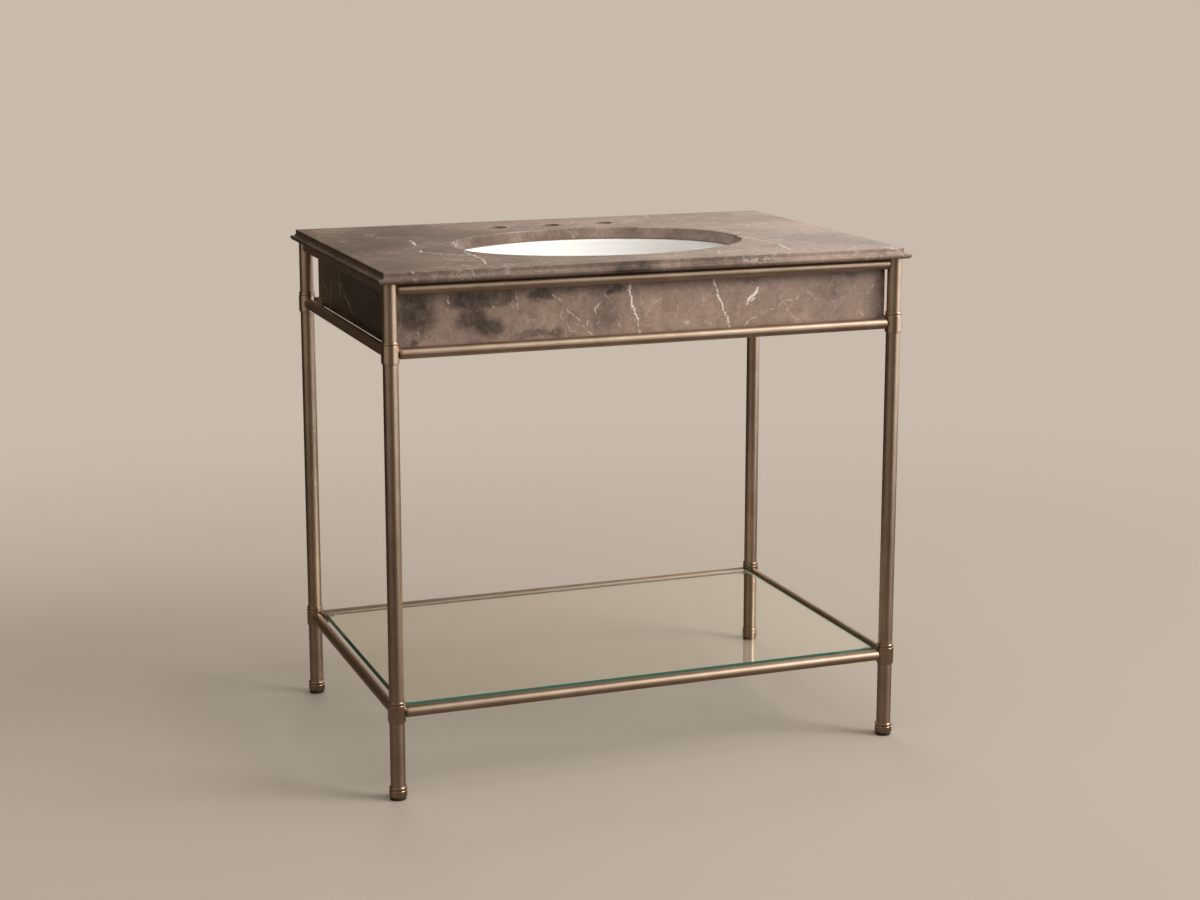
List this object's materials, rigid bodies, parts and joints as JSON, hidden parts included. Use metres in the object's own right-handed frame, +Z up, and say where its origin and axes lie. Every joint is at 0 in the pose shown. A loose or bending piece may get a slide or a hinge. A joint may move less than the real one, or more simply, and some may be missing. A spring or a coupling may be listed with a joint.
{
  "type": "washstand",
  "caption": "Washstand: moulded marble top with oval undermount basin and marble apron panels, on a round-tube frame with collared legs and a glass shelf near the floor",
  "frame": {"origin": "on the floor, under the middle of the marble top's outline", "axes": "+X to the right as one stands before it, +Y to the wall, +Z up"},
  "size_m": [0.915, 0.616, 0.854],
  "materials": {
    "taupe_marble": "polished taupe marble with pale veins",
    "antique_bronze": "brushed antique bronze",
    "vitreous_china": "glossy white glaze",
    "silicone_sealant": "matte",
    "zinc_plated_steel": "bright zinc",
    "foot_nylon": "dark brown nylon",
    "clear_glass": "polished, green at the edges",
    "clear_bumper": "clear soft plastic"
  },
  "bodies": {
    "stand": {"marble_top": "taupe_marble", "apron_front": "taupe_marble", "apron_left": "taupe_marble", "apron_right": "taupe_marble", "apron_corner_blocks": "taupe_marble", "basin": "vitreous_china", "basin_sealant": "silicone_sealant", "basin_clips": "zinc_plated_steel", "clip_studs": "zinc_plated_steel", "clip_washers": "zinc_plated_steel", "clip_wing_nuts": "zinc_plated_steel", "upper_leg_front_left": "antique_bronze", "upper_leg_front_right": "antique_bronze", "upper_leg_back_left": "antique_bronze", "upper_leg_back_right": "antique_bronze", "main_leg_front_left": "antique_bronze", "main_leg_front_right": "antique_bronze", "main_leg_back_left": "antique_bronze", "main_leg_back_right": "antique_bronze", "lower_leg_front_left": "antique_bronze", "lower_leg_front_right": "antique_bronze", "lower_leg_back_left": "antique_bronze", "lower_leg_back_right": "antique_bronze", "apron_collar_front_left": "antique_bronze", "apron_collar_front_right": "antique_bronze", "apron_collar_back_left": "antique_bronze", "apron_collar_back_right": "antique_bronze", "shelf_collar_front_left": "antique_bronze", "shelf_collar_front_right": "antique_bronze", "shelf_collar_back_left": "antique_bronze", "shelf_collar_back_right": "antique_bronze", "upper_rail_front": "antique_bronze", "upper_rail_back": "antique_bronze", "upper_rail_left": "antique_bronze", "upper_rail_right": "antique_bronze", "apron_rail_front": "antique_bronze", "apron_rail_back": "antique_bronze", "apron_rail_left": "antique_bronze", "apron_rail_right": "antique_bronze", "shelf_rail_front": "antique_bronze", "shelf_rail_back": "antique_bronze", "shelf_rail_left": "antique_bronze", "shelf_rail_right": "antique_bronze", "leg_top_plugs": "antique_bronze", "foot_inserts": "zinc_plated_steel", "foot_ferrule_front_left": "antique_bronze", "foot_ferrule_front_right": "antique_bronze", "foot_ferrule_back_left": "antique_bronze", "foot_ferrule_back_right": "antique_bronze", "shelf_corner_tabs": "antique_bronze", "shelf_bumpers": "clear_bumper"},
    "foot_front_left": {"levelling_foot_front_left": "foot_nylon"},
    "foot_front_right": {"levelling_foot_front_right": "foot_nylon"},
    "foot_back_left": {"levelling_foot_back_left": "foot_nylon"},
    "foot_back_right": {"levelling_foot_back_right": "foot_nylon"},
    "shelf": {"glass_shelf": "clear_glass"}
  },
  "joints": [
    {"name": "level_front_left", "type": "slide", "parent": "stand", "child": "foot_front_left", "axis": [0, 0, -1], "range_m": [0, 0.008]},
    {"name": "level_front_right", "type": "slide", "parent": "stand", "child": "foot_front_right", "axis": [0, 0, -1], "range_m": [0, 0.008]},
    {"name": "level_back_left", "type": "slide", "parent": "stand", "child": "foot_back_left", "axis": [0, 0, -1], "range_m": [0, 0.008]},
    {"name": "level_back_right", "type": "slide", "parent": "stand", "child": "foot_back_right", "axis": [0, 0, -1], "range_m": [0, 0.008]},
    {"name": "lift_glass_shelf", "type": "slide", "parent": "stand", "child": "shelf", "axis": [0, 0, 1], "range_m": [0, 0.05]}
  ]
}
